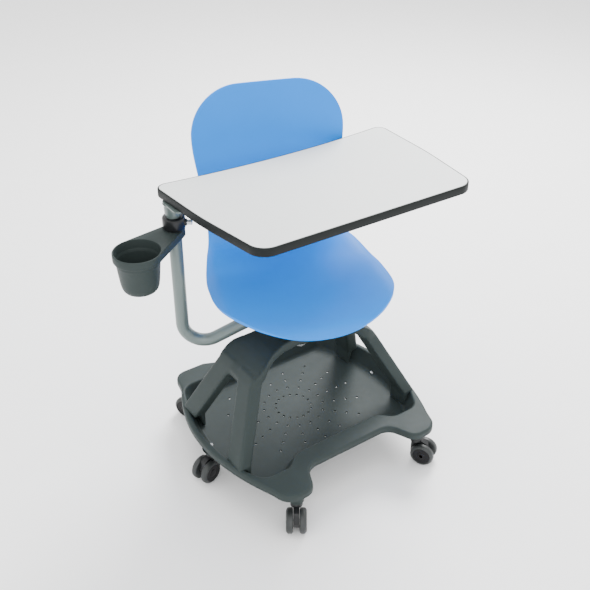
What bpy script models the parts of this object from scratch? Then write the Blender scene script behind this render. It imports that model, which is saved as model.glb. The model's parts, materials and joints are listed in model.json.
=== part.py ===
"""Student desk chair: a swivel seat shell on a storage-tray base with six twin-wheel casters.

The sitter faces -Y. The seat turns on a vertical spindle at the centre of the base. A bent tube arm swings
round the same spindle and carries a desk and a cup holder, which both turn about its post. Everything is
modelled round the spindle, with the floor at z = 0, and the chair is then moved so that the middle of its
bounding box stands on the origin. Left and right are the sitter's: right is -X.
"""
import math

import bmesh
import bpy
from mathutils import Matrix, Vector

# ---------------------------------------------------------------- driving dimensions, metres
gap = 0.0003                 # between pieces that touch
running = 0.0003             # radial clearance of a shaft in its bush

# base tray
tray_half_width = 0.266      # at the widest point of the bowed sides
tray_bow_front = 1.05        # how fast the sides curve in ahead of the spindle, 1/m
tray_bow_rear = 1.45         # and behind it
tray_front = 0.196           # spindle to the flat front edge
tray_rear = 0.236            # spindle to the flat rear edge
front_lobe_reach = 0.064     # how far the front lobes stand past the flat edge
rear_lobe_reach = 0.014
lobe_inner_x = 0.140
lobe_outer_x = 0.204
lobe_flange = 0.082          # rim width at the tip of a front lobe
rim_top = 0.122
rim_height = 0.016
rim_edge = 0.006             # rounded top edge of the rim
tray_wall = 0.0035
dish_floor_top = 0.082
dish_draft = 0.018           # how far the dish wall leans in at its foot
front_flange = 0.047
rear_flange = 0.044
side_flange = 0.015
hole_radius = 0.0023
hole_sides = 6
hole_rays = 16
hole_rings = 5
hole_first_ring = 0.043
hole_ring_step = 0.029
hole_centre_y = 0.022

# struts and swivel housing
strut_depth = 0.055          # along Y
strut_thickness = 0.031      # along X
strut_foot_y = 0.106
strut_top_y = 0.042
strut_top_x = 0.158
strut_top_z = 0.276
strut_corner = 0.007
pad_inset = 0.0015           # the pads under the struts are this much smaller all round
beam_sections = (            # distance from the spindle, bottom, top, half depth
    (0.000, 0.312, 0.336, 0.040),
    (0.070, 0.310, 0.334, 0.042),
    (0.100, 0.304, 0.327, 0.050),
    (0.128, 0.286, 0.3155, 0.064),
    (0.141, strut_top_z + gap, 0.309, 0.070),
    (0.158, strut_top_z + gap, 0.298, 0.072),
    (0.173, strut_top_z + gap, 0.283, 0.070),
)
beam_corner = 0.005
housing_radius = 0.030
housing_top = 0.341
housing_bottom = 0.298

# spindle stack
spindle_radius = 0.0125
bush_wall = 0.0035
flange_thickness = 0.0022
flange_radius = 0.024
ring_height = 0.037
ring_radius = 0.028
washer_thickness = 0.002
bracket_hub_radius = 0.030
bracket_plate = (0.200, 0.180, 0.004)
bracket_plate_top = 0.4230
nut_radius = 0.019
nut_height = 0.008

# seat shell, in the seat's own frame
seat_yaw = math.radians(-19)
seat_half_width = 0.198
waist_half_width = 0.157
back_half_width = 0.176
shell_thickness = 0.006
pan_front_y = -0.212
pan_front_z = 0.4435
lip_length = 0.042
lip_angle = 48               # degrees that the front lip turns through
pan_length = 0.331
waist_begins = 0.55          # share of the pan's length where the shell starts to narrow
pan_slope = -3.0             # degrees, the pan falls towards the back
bend_radius = 0.082
back_angle = 84.0            # degrees, the back's lean from level
back_top = 0.807
front_round = 0.192          # radius of the round seat front
back_round = 0.112           # radius of the back's top corners
pan_dish = 0.016
wing_rise = 0.030
back_wrap = 0.012
edge_roll = 0.012
screw_spread = (0.074, 0.060)
shell_boss_radius = 0.010
screw_radius = 0.0025
screw_head = 0.0055

# arm
post_x = -0.221
post_y = 0.137
tube_radius = 0.0145
tube_wall = 0.0020
run_slope = 0.57             # the run falls this much per metre outwards
run_corner = 0.0925          # distance from the spindle where the run starts to fall
upper_bend = 0.050
lower_bend = 0.048
sleeve_radius = 0.0178
sleeve_end = 0.070
post_top = 0.6215

# desk
desk_top = 0.670
desk_yaw = math.radians(-1.5)
desk_thickness = 0.0190
desk_centre_x = 0.058
desk_front_shift = 0.009     # the front edge stands this far to the left of the rear one
desk_rear_y = 0.190
desk_front_y = -0.166
desk_rear_half = 0.297
desk_front_half = 0.261
desk_side_bulge = 0.008
desk_user_hollow = 0.019
desk_front_corner = 0.040
desk_rear_corner = 0.022
band_width = 0.0032
band_edge = 0.003
pivot_boss_radius = 0.0180
pivot_stem_depth = 0.050
pivot_plate = (0.110, 0.070, 0.003)

# cup holder
cup_reach = 0.115            # post to cup, centre to centre
cup_direction = math.radians(202)
cup_top = 0.590
cup_height = 0.090
cup_rim_radius = 0.0505
cup_base_radius = 0.0375
cup_wall = 0.0026
cup_band = 0.019
holder_ring_radius = 0.0225
holder_thickness = 0.016
collar_radius = 0.0240
collar_height = 0.027
lug_length = 0.011

# casters: the stem's place and the direction that the wheels trail in, degrees
caster_places = (
    ("front_right", -0.162, -0.224, 235.0),
    ("front_left", 0.186, -0.216, -59.0),
    ("middle_right", -0.236, 0.012, 198.0),
    ("middle_left", 0.236, 0.012, 35.0),
    ("rear_right", -0.166, 0.214, 118.0),
    ("rear_left", 0.166, 0.214, 75.0),
)
caster_trail = 0.021
wheel_radius = 0.028
wheel_width = 0.0155
wheel_gap = 0.0145
web_clearance = 0.0005
stem_radius = 0.0040
stem_flange_radius = 0.0080
stem_flange_height = 0.002
stem_socket_depth = 0.020
hood_top = 0.0655
axle_radius = 0.0030
neck_radius = 0.0125
boss_radius = 0.0165
boss_cap = 0.004             # wall over the end of a stem


# ---------------------------------------------------------------- scene and materials
for old in list(bpy.data.objects):
    bpy.data.objects.remove(old, do_unlink=True)

parts = bpy.data.collections.new("student_desk_chair")
cutters = bpy.data.collections.new("cutters")
bpy.context.scene.collection.children.link(parts)
bpy.context.scene.collection.children.link(cutters)


def material(name, colour, roughness, metallic=0.0):
    made = bpy.data.materials.new(name)
    made.use_nodes = True
    shader = made.node_tree.nodes["Principled BSDF"]
    shader.inputs["Base Color"].default_value = (*colour, 1.0)
    shader.inputs["Roughness"].default_value = roughness
    shader.inputs["Metallic"].default_value = metallic
    made.diffuse_color = (*colour, 1.0)
    return made


blue_plastic = material("blue_plastic", (0.04, 0.33, 0.86), 0.42)
grey_plastic = material("grey_plastic", (0.10, 0.13, 0.13), 0.55)
black_plastic = material("black_plastic", (0.018, 0.019, 0.020), 0.40)
tread_plastic = material("tread_plastic", (0.022, 0.023, 0.024), 0.60)
bush_plastic = material("bush_plastic", (0.55, 0.55, 0.52), 0.45)
grey_paint = material("grey_paint", (0.36, 0.42, 0.41), 0.38, 0.3)
steel = material("steel", (0.55, 0.56, 0.57), 0.30, 1.0)
white_laminate = material("white_laminate", (0.82, 0.83, 0.82), 0.40)
dark_edging = material("dark_edging", (0.030, 0.036, 0.036), 0.45)


# ---------------------------------------------------------------- placing
def empty(name, parent=None, location=(0, 0, 0), yaw=0.0):
    made = bpy.data.objects.new(name, None)
    made.empty_display_size = 0.03
    parts.objects.link(made)
    made.parent = parent
    made.location = location
    made.rotation_euler = (0, 0, yaw)
    return made


post_distance = math.hypot(post_x, post_y)
arm_yaw = math.atan2(post_y, post_x)

chair = empty("chair")
seat_turn = empty("seat_turn", chair, yaw=seat_yaw)
arm_turn = empty("arm_turn", seat_turn, yaw=arm_yaw - seat_yaw)
desk_turn = empty("desk_turn", arm_turn, (post_distance, 0, 0), desk_yaw - arm_yaw)
cup_turn = empty("cup_turn", arm_turn, (post_distance, 0, 0), cup_direction - arm_yaw)


def place(name, mesh, finish, parent, collection=parts):
    """Put a mesh in the scene as one sub-part of a parent."""
    made = bpy.data.objects.new(name, mesh)
    collection.objects.link(made)
    made.parent = parent
    if finish:
        mesh.materials.append(finish)
    if collection is cutters:
        made.hide_render = True
        made.display_type = "WIRE"
    return made


# ---------------------------------------------------------------- shapes
def mesh_of(name, bm):
    bmesh.ops.recalc_face_normals(bm, faces=bm.faces)
    mesh = bpy.data.meshes.new(name)
    bm.to_mesh(mesh)
    bm.free()
    return mesh


def rounded(corners, steps=4):
    """A closed outline from (x, y, radius) corners, each turned into an arc of a few points."""
    outline = []
    for i, (x, y, radius) in enumerate(corners):
        here = Vector((x, y))
        before = (Vector(corners[i - 1][:2]) - here).normalized()
        after = (Vector(corners[(i + 1) % len(corners)][:2]) - here).normalized()
        if radius == 0:
            outline.append(here)
            continue
        half = before.angle(after) / 2
        centre = here + (before + after).normalized() * radius / math.sin(half)
        start = here + before * radius / math.tan(half) - centre
        end = here + after * radius / math.tan(half) - centre
        turn = math.atan2(start.cross(end), start.dot(end))
        for k in range(steps + 1):
            outline.append(centre + Matrix.Rotation(turn * k / steps, 2) @ start)
    return outline


def both_sides(half):
    """Corners of a closed outline from its half at x > 0, in order from front to rear."""
    return list(half) + [(-x, y, radius) for x, y, radius in reversed(half)]


def inside(outline, x, y):
    """Whether a point is inside a closed outline."""
    crossings = 0
    for i, b in enumerate(outline):
        a = outline[i - 1]
        if (a.y > y) != (b.y > y) and x < a.x + (y - a.y) * (b.x - a.x) / (b.y - a.y):
            crossings += 1
    return crossings % 2 == 1


def grown(outline, distance):
    """The outline moved outwards by a distance, or inwards if it is negative. It runs anticlockwise."""
    moved = []
    for i, here in enumerate(outline):
        before = (here - outline[i - 1]).normalized()
        after = (outline[(i + 1) % len(outline)] - here).normalized()
        out_before = Vector((before.y, -before.x))
        out_after = Vector((after.y, -after.x))
        share = out_before + out_after
        moved.append(here + share * distance / (1 + out_before.dot(out_after)))
    return moved


def loft(name, rings, finish=None, parent=None, collection=parts, matrix=None):
    """A solid through outlines of equal length, each (outline, height), from the bottom up."""
    bm = bmesh.new()
    loops = [[bm.verts.new((p[0], p[1], height)) for p in outline] for outline, height in rings]
    for low, high in zip(loops, loops[1:]):
        for k in range(len(low)):
            bm.faces.new((low[k - 1], low[k], high[k], high[k - 1]))
    bm.faces.new(list(reversed(loops[0])))
    bm.faces.new(loops[-1])
    if matrix:
        bm.transform(matrix)
    return place(name, mesh_of(name, bm), finish, parent, collection)


def along(start, end):
    """The matrix that lays a cylinder's own Z axis from one point to another."""
    start = Vector(start)
    run = Vector(end) - start
    return Matrix.Translation(start + run / 2) @ run.to_track_quat("Z", "Y").to_matrix().to_4x4()


def rods(name, ends, radius, sides=16, finish=None, parent=None, collection=parts):
    """One or more separate straight rods, each from a start point to an end point."""
    bm = bmesh.new()
    for start, end in ends:
        length = (Vector(end) - Vector(start)).length
        bmesh.ops.create_cone(bm, cap_ends=True, segments=sides, radius1=radius, radius2=radius,
                              depth=length, matrix=along(start, end))
    return place(name, mesh_of(name, bm), finish, parent, collection)


def turned(name, profile, sides, finish=None, parent=None, collection=parts, matrix=None):
    """A solid of revolution about Z from (radius, height) points that run down its outer side."""
    bm = bmesh.new()
    verts = [bm.verts.new((r, 0, z)) for r, z in profile]
    edges = [bm.edges.new(pair) for pair in zip(verts, verts[1:])]
    if profile[0][0] > 0:
        edges.append(bm.edges.new((verts[-1], verts[0])))
    bmesh.ops.spin(bm, geom=verts + edges, cent=(0, 0, 0), axis=(0, 0, 1), angle=2 * math.pi, steps=sides,
                   use_merge=True)
    bmesh.ops.remove_doubles(bm, verts=bm.verts, dist=1e-6)
    if matrix:
        bm.transform(matrix)
    return place(name, mesh_of(name, bm), finish, parent, collection)


def tube(name, points, radius, resolution, finish=None, parent=None, collection=parts):
    """A round bar along points, made a mesh."""
    curve = bpy.data.curves.new(name, "CURVE")
    curve.dimensions = "3D"
    curve.bevel_depth = radius
    curve.bevel_resolution = resolution
    curve.use_fill_caps = True
    spline = curve.splines.new("POLY")
    spline.points.add(len(points) - 1)
    for point, where in zip(spline.points, points):
        point.co = (*where, 1)
    guide = bpy.data.objects.new(name + "_guide", curve)
    parts.objects.link(guide)
    mesh = bpy.data.meshes.new_from_object(guide.evaluated_get(bpy.context.evaluated_depsgraph_get()))
    bpy.data.objects.remove(guide)
    bm = bmesh.new()
    bm.from_mesh(mesh)
    bmesh.ops.remove_doubles(bm, verts=bm.verts, dist=1e-5)
    bpy.data.meshes.remove(mesh)
    return place(name, mesh_of(name, bm), finish, parent, collection)


def combine(target, other, operation):
    """Boolean with another object, which becomes a cutter."""
    made = target.modifiers.new(operation.lower() + "_" + other.name, "BOOLEAN")
    made.operation = operation
    made.object = other
    made.solver = "EXACT"


def cut(target, other):
    combine(target, other, "DIFFERENCE")


def join(target, other):
    combine(target, other, "UNION")


def smooth(target, degrees=35):
    target.data.shade_smooth()
    target.data.set_sharp_from_angle(angle=math.radians(degrees))


# ---------------------------------------------------------------- base tray
def side_x(y):
    """Half-width of the tray at a distance behind the spindle."""
    return tray_half_width - (tray_bow_front if y < 0 else tray_bow_rear) * y * y


def tray_outline():
    tip = -tray_front - front_lobe_reach
    back = tray_rear + rear_lobe_reach
    half = [(0.112, -tray_front, 0.035), (lobe_inner_x, tip, 0.030), (lobe_outer_x, tip, 0.040)]
    half += [(side_x(y), y, 0) for y in (-0.210, -0.160, -0.110, -0.060, 0.0, 0.050, 0.100, 0.150, 0.195)]
    half += [(0.200, back, 0.032), (0.120, back, 0.030), (0.088, tray_rear, 0.030)]
    return rounded(both_sides(half), 3)


def dish_outline():
    tip = -tray_front - front_lobe_reach + lobe_flange
    half = [(0.116, -tray_front + front_flange, 0.050), (0.146, tip, 0.028), (0.210, tip, 0.032)]
    half += [(side_x(y) - side_flange, y, 0) for y in (-0.135, -0.090, -0.045, 0.0, 0.045, 0.090, 0.140)]
    half += [(0.204, tray_rear - rear_flange, 0.034)]
    return rounded(both_sides(half), 3)


def strut_section(x, y, inset=0.0):
    """The strut's rounded box section, centred on a point."""
    a = strut_thickness / 2 - inset
    b = strut_depth / 2 - inset
    signs = ((-1, -1), (1, -1), (1, 1), (-1, 1))
    return rounded([(x + i * a, y + j * b, strut_corner) for i, j in signs], 2)


def strut_foot(side, end):
    """Centre of a strut's foot. side is -1 or 1 along X, end is -1 at the front or 1 at the rear."""
    far_edge = end * (strut_foot_y + strut_depth / 2)
    return side * (side_x(far_edge) - strut_thickness / 2), end * strut_foot_y


rim_bottom = rim_top - rim_height
dish_bottom = dish_floor_top - tray_wall
boss_bottom = hood_top + gap + stem_flange_height + gap
stem_hole_top = boss_bottom + stem_socket_depth
outer = tray_outline()
dish = dish_outline()
dish_foot = grown(dish, -dish_draft)
strut_corners = [(side, end) for side in (-1, 1) for end in (-1, 1)]

base_tray = loft("base_tray", [
    (outer, rim_bottom),
    (outer, rim_top - rim_edge),
    (grown(outer, -rim_edge * 0.3), rim_top - rim_edge * 0.3),
    (grown(outer, -rim_edge), rim_top),
], grey_plastic, chair)
bowl = loft("bowl", [
    (grown(dish_foot, tray_wall), dish_bottom),
    (grown(dish, tray_wall), rim_top - 0.001),
], collection=cutters, parent=chair)
hollow = loft("rim_hollow", [
    (grown(outer, -tray_wall), rim_bottom - 0.01),
    (grown(outer, -tray_wall), rim_top - rim_edge),
    (grown(outer, -rim_edge - 0.001), rim_top - tray_wall),
], collection=cutters, parent=chair)
cut(hollow, bowl)
dish_cutter = loft("dish", [
    (dish_foot, dish_floor_top),
    (dish, rim_top - 0.004),
    (grown(dish, 0.003), rim_top + 0.001),
], collection=cutters, parent=chair)
for side, end in strut_corners:
    x, y = strut_foot(side, end)
    section = strut_section(x, y, pad_inset)
    pad = loft(f"pad_{side}_{end}", [(section, dish_floor_top - 0.01), (section, rim_top + 0.01)],
               collection=cutters, parent=chair)
    cut(dish_cutter, pad)
bosses = []
for name, x, y, angle in caster_places:
    top = stem_hole_top + boss_cap if inside(dish, x, y) else rim_top - 0.0015
    bosses.append(((x, y, boss_bottom), (x, y, top)))
stem_bosses = rods("stem_bosses", bosses, boss_radius, 16, collection=cutters, parent=chair)
stem_holes = rods("stem_holes", [((x, y, boss_bottom - 0.01), (x, y, stem_hole_top))
                                 for name, x, y, angle in caster_places],
                  stem_radius + 0.001 + gap, 12, collection=cutters, parent=chair)
holes = []
for ray in range(hole_rays):
    for ring in range(hole_rings):
        reach = hole_first_ring + hole_ring_step * ring
        x = reach * math.cos(2 * math.pi * ray / hole_rays)
        y = reach * math.sin(2 * math.pi * ray / hole_rays) + hole_centre_y
        if inside(grown(dish_foot, -0.006), x, y):
            holes.append(((x, y, dish_bottom - 0.01), (x, y, dish_floor_top + 0.01)))
floor_holes = rods("floor_holes", holes, hole_radius, hole_sides, collection=cutters, parent=chair)

cut(base_tray, hollow)
join(base_tray, bowl)
cut(base_tray, dish_cutter)
join(base_tray, stem_bosses)
cut(base_tray, stem_holes)
cut(base_tray, floor_holes)


# ---------------------------------------------------------------- struts and swivel housing
for side, end in strut_corners:
    foot_x, foot_y = strut_foot(side, end)
    name = ("front" if end < 0 else "rear") + ("_left" if side > 0 else "_right") + "_strut"
    loft(name, [
        (strut_section(foot_x, foot_y), rim_top + gap),
        (strut_section(side * strut_top_x, end * strut_top_y), strut_top_z - gap),
    ], grey_plastic, chair)

to_x = Matrix(((0, 0, 1, 0), (1, 0, 0, 0), (0, 1, 0, 0), (0, 0, 0, 1)))
mirrored_sections = [(-x, low, high, deep) for x, low, high, deep in reversed(beam_sections[1:])]
sections = mirrored_sections + list(beam_sections)
rings = []
for x, low, high, deep in sections:
    corner = min(beam_corner, (high - low) * 0.45)
    rings.append((rounded([(-deep, low, 0.001), (deep, low, 0.001), (deep, high, corner),
                           (-deep, high, corner)], 2), x))
swivel_housing = loft("swivel_housing", rings, grey_plastic, chair, matrix=to_x)
bush_radius = spindle_radius + running + bush_wall
housing_boss = turned("housing_boss", [
    (0, housing_top), (housing_radius, housing_top), (housing_radius, housing_bottom), (0, housing_bottom),
], 28, collection=cutters, parent=chair)
housing_bore = rods("housing_bore", [((0, 0, housing_bottom - 0.01), (0, 0, housing_top + 0.01))],
                    bush_radius + gap, 24, collection=cutters, parent=chair)
join(swivel_housing, housing_boss)
cut(swivel_housing, housing_bore)

bush_flange = housing_top + gap
ring_bottom = bush_flange + flange_thickness + gap
turned("housing_bush", [
    (flange_radius, bush_flange + flange_thickness), (flange_radius, bush_flange),
    (bush_radius, bush_flange), (bush_radius, housing_bottom),
    (spindle_radius + running, housing_bottom), (spindle_radius + running, bush_flange + flange_thickness),
], 24, bush_plastic, chair)


# ---------------------------------------------------------------- spindle and its hardware
ring_top = ring_bottom + ring_height
washer_top = ring_top + gap + washer_thickness
bracket_bottom = washer_top + gap
spindle_top = bracket_plate_top - 0.006
nut_top = housing_bottom - 2 * gap - washer_thickness
spindle_bottom = nut_top - nut_height - 0.004
turned("seat_spindle", [
    (0, spindle_top), (spindle_radius - 0.001, spindle_top), (spindle_radius, spindle_top - 0.001),
    (spindle_radius, spindle_bottom + 0.001), (spindle_radius - 0.001, spindle_bottom), (0, spindle_bottom),
], 24, steel, seat_turn)
turned("thrust_washer", [
    (ring_radius - 0.002, washer_top), (ring_radius - 0.002, ring_top + gap),
    (spindle_radius + gap, ring_top + gap), (spindle_radius + gap, washer_top),
], 24, bush_plastic, seat_turn)
turned("spindle_washer", [
    (nut_radius + 0.003, housing_bottom - gap), (nut_radius + 0.003, nut_top + gap),
    (spindle_radius + gap, nut_top + gap), (spindle_radius + gap, housing_bottom - gap),
], 24, steel, seat_turn)
spindle_nut = rods("spindle_nut", [((0, 0, nut_top - nut_height), (0, 0, nut_top))], nut_radius, 6,
                   steel, seat_turn)
nut_bore = rods("nut_bore", [((0, 0, nut_top - nut_height - 0.01), (0, 0, nut_top + 0.01))],
                spindle_radius + gap, 24, collection=cutters, parent=seat_turn)
cut(spindle_nut, nut_bore)


# ---------------------------------------------------------------- seat shell
def smoothstep(low, high, value):
    share = min(1.0, max(0.0, (value - low) / (high - low)))
    return share * share * (3 - 2 * share)


def arc_step(y, z, heading, length, turn):
    """The end of an arc of a given length that starts at a heading and turns, all in the YZ plane."""
    if abs(turn) < 1e-6:
        return y + length * math.cos(heading), z + length * math.sin(heading)
    radius = length / turn
    return (y + radius * (math.sin(heading + turn) - math.sin(heading)),
            z - radius * (math.cos(heading + turn) - math.cos(heading)))


pan_heading = math.radians(pan_slope)
back_heading = math.radians(back_angle)
bend_turn = back_heading - pan_heading
runs = [(lip_length, math.radians(-lip_angle)), (pan_length, 0.0), (bend_radius * bend_turn, bend_turn)]
starts = [(pan_front_y, pan_front_z, pan_heading + math.radians(lip_angle))]
for length, turn in runs:
    y, z, heading = starts[-1]
    starts.append((*arc_step(y, z, heading, length, turn), heading + turn))
back_length = (back_top - starts[-1][1]) / math.sin(back_heading)
runs.append((back_length, 0.0))
shell_length = sum(length for length, turn in runs)
bend_start = lip_length + pan_length
back_start = bend_start + runs[2][0]


def shell_profile(s):
    """Place and heading of the shell's middle line at a distance from the front lip."""
    for (length, turn), (y, z, heading) in zip(runs, starts):
        if s <= length or length == back_length:
            part = turn * s / length
            return (*arc_step(y, z, heading, s, part), heading + part)
        s -= length


def shell_half_width(s):
    waist = smoothstep(lip_length + waist_begins * pan_length, back_start - 0.02, s)
    top = smoothstep(back_start, shell_length - back_round, s)
    width = seat_half_width + (waist_half_width - seat_half_width) * waist
    return width + (back_half_width - waist_half_width) * top


def shell_point(s, across):
    """A point of the shell's upper face. across runs from -1 to 1 over its width."""
    y, z, heading = shell_profile(s)
    pan = smoothstep(0.0, lip_length * 2, s) * (1 - smoothstep(bend_start - 0.10, bend_start, s))
    back = smoothstep(bend_start, back_start + 0.06, s)
    wing = 1 - back - (1 - smoothstep(bend_start - 0.10, bend_start, s))
    lift = (pan_dish * pan + wing_rise * max(0.0, wing) + back_wrap * back) * across * across
    lift -= edge_roll * abs(across) ** 12 * (1 - back)
    return Vector((shell_half_width(s) * across, y - lift * math.sin(heading), z + lift * math.cos(heading)))


def end_round(across, half_width, radius):
    """How far a round end falls back at a place across the width."""
    past = max(0.0, abs(across) * half_width - (half_width - radius))
    return radius - math.sqrt(max(0.0, radius * radius - past * past))


shell_columns = 16
shell_rows = 22
bm = bmesh.new()
grid = []
for j in range(shell_rows + 1):
    row = []
    for i in range(shell_columns + 1):
        across = math.sin(math.pi * (i / shell_columns - 0.5))
        first = end_round(across, seat_half_width, front_round)
        last = shell_length - end_round(across, back_half_width, back_round)
        row.append(bm.verts.new(shell_point(first + (last - first) * j / shell_rows, across)))
    grid.append(row)
for low, high in zip(grid, grid[1:]):
    for k in range(shell_columns):
        bm.faces.new((low[k], low[k + 1], high[k + 1], high[k]))
shell_mesh = bpy.data.meshes.new("seat_shell")
bm.to_mesh(shell_mesh)
bm.free()
seat_shell = place("seat_shell", shell_mesh, blue_plastic, seat_turn)
wall = seat_shell.modifiers.new("wall", "SOLIDIFY")
wall.thickness = shell_thickness
wall.offset = -1
wall.use_even_offset = True


def pan_height(x, y):
    """Height of the shell's upper face over a point of the pan."""
    s = min((k * 0.001 for k in range(int(bend_start * 1000))), key=lambda k: abs(shell_profile(k)[0] - y))
    return shell_point(s, x / shell_half_width(s)).z


screw_places = [(i * screw_spread[0], j * screw_spread[1]) for i in (-1, 1) for j in (-1, 1)]
boss_ends = []
boss_hole_ends = []
for x, y in screw_places:
    top = pan_height(x, y) - shell_thickness * 0.5
    boss_ends.append(((x, y, bracket_plate_top + gap), (x, y, top)))
    boss_hole_ends.append(((x, y, bracket_plate_top - 0.01), (x, y, bracket_plate_top + gap + 0.009)))
shell_bosses = rods("shell_bosses", boss_ends, shell_boss_radius, 16, collection=cutters, parent=seat_turn)
shell_holes = rods("shell_holes", boss_hole_ends, screw_radius + gap, 10, collection=cutters,
                   parent=seat_turn)
join(seat_shell, shell_bosses)
cut(seat_shell, shell_holes)

plate_x, plate_y, plate_thick = bracket_plate
plate_bottom = bracket_plate_top - plate_thick
seat_bracket = loft("seat_bracket", [
    (rounded([(i * plate_x / 2, j * plate_y / 2, 0.020) for i, j in ((-1, -1), (1, -1), (1, 1), (-1, 1))]), z)
    for z in (plate_bottom, bracket_plate_top)
], black_plastic, seat_turn)
bracket_hub = turned("bracket_hub", [
    (0, bracket_plate_top - 0.001), (bracket_hub_radius + 0.014, bracket_plate_top - 0.001),
    (bracket_hub_radius + 0.012, plate_bottom - 0.003), (bracket_hub_radius, plate_bottom - 0.014),
    (bracket_hub_radius, bracket_bottom), (0, bracket_bottom),
], 24, collection=cutters, parent=seat_turn)
bracket_bore = rods("bracket_bore", [((0, 0, bracket_bottom - 0.01), (0, 0, spindle_top + gap))],
                    spindle_radius + gap, 24, collection=cutters, parent=seat_turn)
bracket_holes = rods("bracket_holes", [((x, y, plate_bottom - 0.01), (x, y, bracket_plate_top + 0.01))
                                       for x, y in screw_places], screw_radius + gap, 10,
                     collection=cutters, parent=seat_turn)
join(seat_bracket, bracket_hub)
cut(seat_bracket, bracket_bore)
cut(seat_bracket, bracket_holes)


def screw(name, x, y, seat_z, length, parent):
    """A pan-head screw that points up, with its head under seat_z."""
    made = turned(name, [
        (0, seat_z + length), (screw_radius, seat_z + length), (screw_radius, seat_z),
        (screw_head, seat_z), (screw_head * 0.8, seat_z - 0.003), (0, seat_z - 0.003),
    ], 10, steel, parent)
    made.location = (x, y, 0)
    return made


for number, (x, y) in enumerate(screw_places, 1):
    screw(f"seat_screw_{number}", x, y, plate_bottom - gap, plate_thick + 0.009, seat_turn)


# ---------------------------------------------------------------- arm
ring_middle = (ring_bottom + ring_top) / 2
arm_ring = turned("arm_ring", [
    (0, ring_top), (ring_radius, ring_top), (ring_radius, ring_bottom), (0, ring_bottom),
], 28, grey_paint, arm_turn)
tube_start = ring_radius + 0.0065
sleeve = rods("sleeve", [((flange_radius + 0.001, 0, ring_middle), (sleeve_end, 0, ring_middle))],
              sleeve_radius, 20, collection=cutters, parent=arm_turn)
sleeve_bore = rods("sleeve_bore", [((tube_start - gap, 0, ring_middle), (sleeve_end + 0.01, 0, ring_middle))],
                   tube_radius + gap, 20, collection=cutters, parent=arm_turn)
ring_bore = rods("ring_bore", [((0, 0, ring_bottom - 0.01), (0, 0, ring_top + 0.01))], bush_radius + gap, 24,
                 collection=cutters, parent=arm_turn)
join(arm_ring, sleeve)
cut(arm_ring, ring_bore)
cut(arm_ring, sleeve_bore)
turned("arm_bush", [
    (bush_radius, ring_top), (bush_radius, ring_bottom),
    (spindle_radius + running, ring_bottom), (spindle_radius + running, ring_top),
], 24, bush_plastic, arm_turn)

low_corner = ring_middle - run_slope * (post_distance - run_corner)


def arm_path(extra):
    """The tube's middle line in the arm's own plane, with its two ends drawn out a little."""
    route = [(tube_start - extra, ring_middle, 0), (run_corner, ring_middle, upper_bend),
             (post_distance, low_corner, lower_bend), (post_distance, post_top + extra, 0)]
    flat = rounded(route, 7)
    return [(p.x, 0, p.y) for p in flat]


arm_tube = tube("arm_tube", arm_path(0), tube_radius, 4, grey_paint, arm_turn)
tube_bore = tube("tube_bore", arm_path(0.01), tube_radius - tube_wall, 4,
                 collection=cutters, parent=arm_turn)
cut(arm_tube, tube_bore)


# ---------------------------------------------------------------- desk
def desk_outline(inset=0.0):
    rear = [(x * desk_rear_half, desk_rear_y - desk_user_hollow * (1 - x * x), 0)
            for x in (0.84, 0.6, 0.3, 0.0, -0.3, -0.6, -0.84)]
    middle_x = (desk_rear_half + desk_front_half) / 2 + desk_side_bulge
    middle_y = (desk_rear_y + desk_front_y) / 2
    shift = desk_front_shift
    route = [(shift - desk_front_half, desk_front_y, desk_front_corner),
             (shift + desk_front_half, desk_front_y, desk_front_corner),
             (shift / 2 + middle_x, middle_y, 0.9), (desk_rear_half, desk_rear_y, desk_rear_corner)]
    route += rear
    route += [(-desk_rear_half, desk_rear_y, desk_rear_corner), (shift / 2 - middle_x, middle_y, 0.9)]
    shifted = [(x + desk_centre_x - post_x, y - post_y, radius) for x, y, radius in route]
    return grown(rounded(shifted, 4), -inset)


desk_bottom = desk_top - desk_thickness
band_outer = desk_outline()
board = desk_outline(band_width + gap)
desk_board = loft("desk_board", [(board, desk_bottom), (board, desk_top)], white_laminate, desk_turn)
edge_band = loft("edge_band", [
    (grown(band_outer, -band_edge * 0.5), desk_bottom), (band_outer, desk_bottom + band_edge * 0.7),
    (band_outer, desk_top - band_edge * 0.7), (grown(band_outer, -band_edge * 0.5), desk_top),
], dark_edging, desk_turn)
board_space = loft("board_space", [
    (desk_outline(band_width), desk_bottom - 0.01), (desk_outline(band_width), desk_top + 0.01),
], collection=cutters, parent=desk_turn)
cut(edge_band, board_space)

plate_long, plate_wide, plate_high = pivot_plate
pivot_plate_top = desk_bottom - gap
pivot_plate_bottom = pivot_plate_top - plate_high
boss_foot = post_top + 0.0008
plate_left = -pivot_boss_radius
plate_front = pivot_boss_radius - plate_wide
desk_pivot = loft("desk_pivot", [
    (rounded([(plate_left, plate_front, 0.012), (plate_left + plate_long, plate_front, 0.012),
              (plate_left + plate_long, plate_front + plate_wide, 0.012),
              (plate_left, plate_front + plate_wide, 0.012)]), z)
    for z in (pivot_plate_bottom, pivot_plate_top)
], grey_paint, desk_turn)
pivot_stem_radius = tube_radius - tube_wall - running - 0.0004
pivot_stem = turned("pivot_stem", [
    (0, pivot_plate_top - 0.001), (pivot_boss_radius, pivot_plate_top - 0.001),
    (pivot_boss_radius, pivot_plate_bottom - 0.004), (pivot_boss_radius - 0.0015, boss_foot),
    (pivot_stem_radius, boss_foot),
    (pivot_stem_radius, boss_foot - pivot_stem_depth), (0, boss_foot - pivot_stem_depth),
], 24, collection=cutters, parent=desk_turn)
join(desk_pivot, pivot_stem)
desk_screw_places = [
    (plate_left + plate_long - 0.014, plate_front + 0.014),
    (plate_left + plate_long - 0.014, plate_front + plate_wide - 0.014),
    (plate_left + 0.014, plate_front + 0.014),
]
desk_screw_length = plate_high + 0.012
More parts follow.
